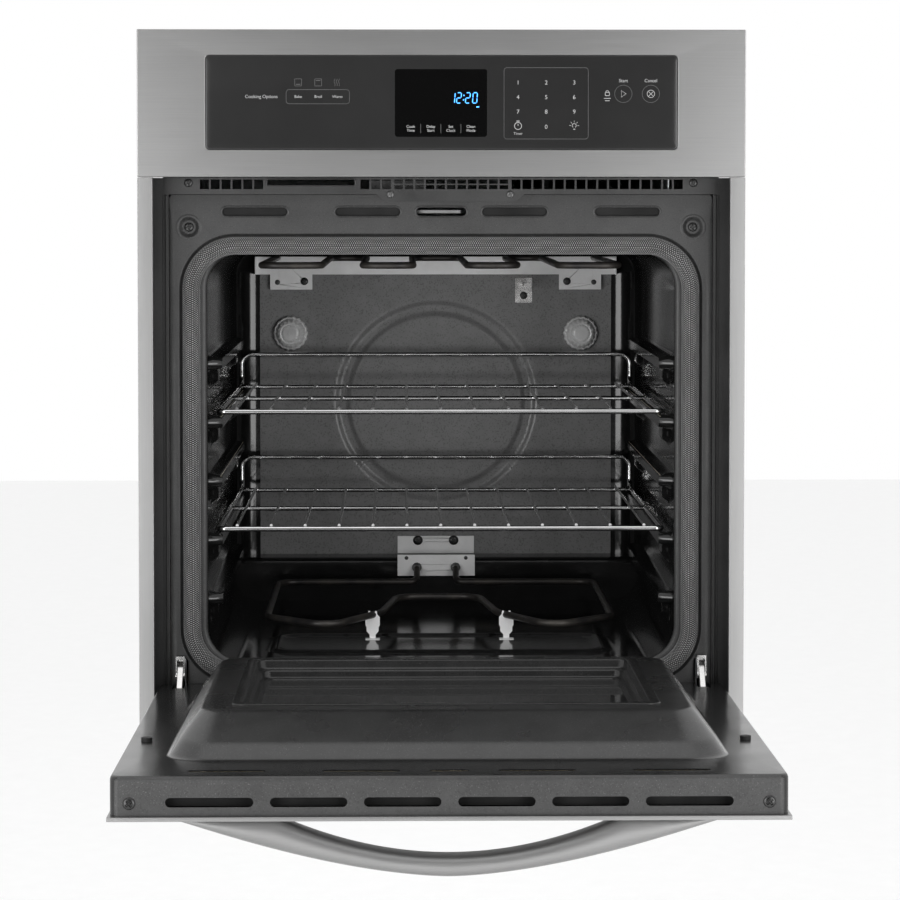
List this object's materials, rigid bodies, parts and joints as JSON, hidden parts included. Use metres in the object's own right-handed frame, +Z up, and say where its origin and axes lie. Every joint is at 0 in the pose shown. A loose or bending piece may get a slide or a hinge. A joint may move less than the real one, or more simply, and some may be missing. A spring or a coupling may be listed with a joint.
{
  "type": "built-in wall oven",
  "caption": "Built-in single electric wall oven with a drop-down door, sliding wire racks, heating elements, touch control panel and spring-balanced hinges.",
  "frame": {"origin": "middle of the cabinet shelf's front edge: on the face that the oven rests on, in the plane of the cabinet face", "axes": "+X to the right seen from the room, +Y into the cabinet, +Z up"},
  "size_m": [0.603, 1.1345, 0.7377],
  "materials": {
    "stainless": "satin",
    "galvanised": "satin",
    "enamel": "gloss",
    "black_paint": "satin",
    "bright_steel": "polished",
    "chrome": "polished",
    "element": "matte",
    "black_glass": "gloss",
    "door_glass": "gloss",
    "lens_glass": "gloss",
    "gasket": "matte",
    "insulation": "matte",
    "rubber": "matte",
    "circuit": "matte",
    "plastic": "matte",
    "ceramic": "matte"
  },
  "bodies": {
    "oven_body": {"control_fascia": "stainless", "side_trim_left": "stainless", "side_trim_right": "stainless", "bottom_trim": "stainless", "base_pan": "galvanised", "casing_left": "galvanised", "casing_right": "galvanised", "casing_top": "galvanised", "casing_back": "galvanised", "junction_box": "galvanised", "hinge_receivers": "galvanised", "fan_housing": "galvanised", "latch_plate": "galvanised", "broil_bracket": "galvanised", "bake_terminal_plates": "galvanised", "bake_feet": "galvanised", "front_frame": "enamel", "cavity_liner": "enamel", "vent_grille": "black_paint", "fan_motor": "black_paint", "latch_motor": "black_paint", "hinge_arm_left": "bright_steel", "hinge_arm_right": "bright_steel", "body_screws": "bright_steel", "temp_sensor": "bright_steel", "broil_element": "element", "bake_element": "element", "control_glass": "black_glass", "lamp_lenses": "lens_glass", "lamp_bulbs": "lens_glass", "door_gasket": "gasket", "insulation": "insulation", "control_board": "circuit", "control_cover": "plastic", "thermal_cutout": "plastic", "lamp_sockets": "ceramic"},
    "door": {"door_skin": "stainless", "door_liner": "enamel", "window_frame": "enamel", "door_outer_glass": "door_glass", "door_middle_glass": "door_glass", "door_inner_glass": "door_glass", "door_insulation": "insulation", "handle": "stainless", "handle_screws": "bright_steel", "door_bumpers": "rubber", "door_screws": "bright_steel", "hinge_channels": "galvanised", "hinge_pins": "bright_steel", "hinge_spring_left": "bright_steel", "hinge_spring_right": "bright_steel"},
    "hinge_rod_left": {"hinge_rod_left": "bright_steel"},
    "hinge_rod_right": {"hinge_rod_right": "bright_steel"},
    "hinge_lock_left": {"hinge_lock_left": "bright_steel"},
    "hinge_lock_right": {"hinge_lock_right": "bright_steel"},
    "latch_hook": {"latch_hook": "bright_steel"},
    "cooling_fan": {"fan_impeller": "plastic"},
    "upper_rack": {"upper_rack": "chrome"},
    "lower_rack": {"lower_rack": "chrome"}
  },
  "joints": [
    {"name": "door_hinge", "type": "hinge", "parent": "oven_body", "child": "door", "pos_m": [0, -0.015, 0.064], "axis": [-1, 0, 0], "range_deg": [0, 89]},
    {"name": "hinge_rod_left_slide", "type": "slide", "parent": "door", "child": "hinge_rod_left", "axis": [0, -0.9998, 0.0175], "range_m": [-0.0121, 0], "deforming": ["hinge_spring_left"]},
    {"name": "hinge_rod_right_slide", "type": "slide", "parent": "door", "child": "hinge_rod_right", "axis": [0, -0.9998, 0.0175], "range_m": [-0.0121, 0], "deforming": ["hinge_spring_right"]},
    {"name": "hinge_lock_left_flip", "type": "hinge", "parent": "oven_body", "child": "hinge_lock_left", "pos_m": [-0.2635, -0.0055, 0.078], "axis": [-1, 0, 0], "range_deg": [-80, 0]},
    {"name": "hinge_lock_right_flip", "type": "hinge", "parent": "oven_body", "child": "hinge_lock_right", "pos_m": [0.2635, -0.0055, 0.078], "axis": [-1, 0, 0], "range_deg": [-80, 0]},
    {"name": "latch_swing", "type": "hinge", "parent": "oven_body", "child": "latch_hook", "pos_m": [-0.038, 0.014, 0.5465], "axis": [0, 0, -1], "range_deg": [0, 24]},
    {"name": "cooling_fan_spin", "type": "hinge", "parent": "oven_body", "child": "cooling_fan", "pos_m": [0.15, 0.4, 0.58], "axis": [0, 0, 1], "continuous": true},
    {"name": "upper_rack_slide", "type": "slide", "parent": "oven_body", "child": "upper_rack", "axis": [0, 1, 0], "range_m": [-0.25, 0]},
    {"name": "lower_rack_slide", "type": "slide", "parent": "oven_body", "child": "lower_rack", "axis": [0, 1, 0], "range_m": [-0.25, 0]}
  ],
  "couplings": [
    {"joint": "hinge_rod_left_slide", "follows": "door_hinge", "m_per_rad": -0.0077253},
    {"joint": "hinge_rod_right_slide", "follows": "door_hinge", "m_per_rad": -0.0077253}
  ]
}
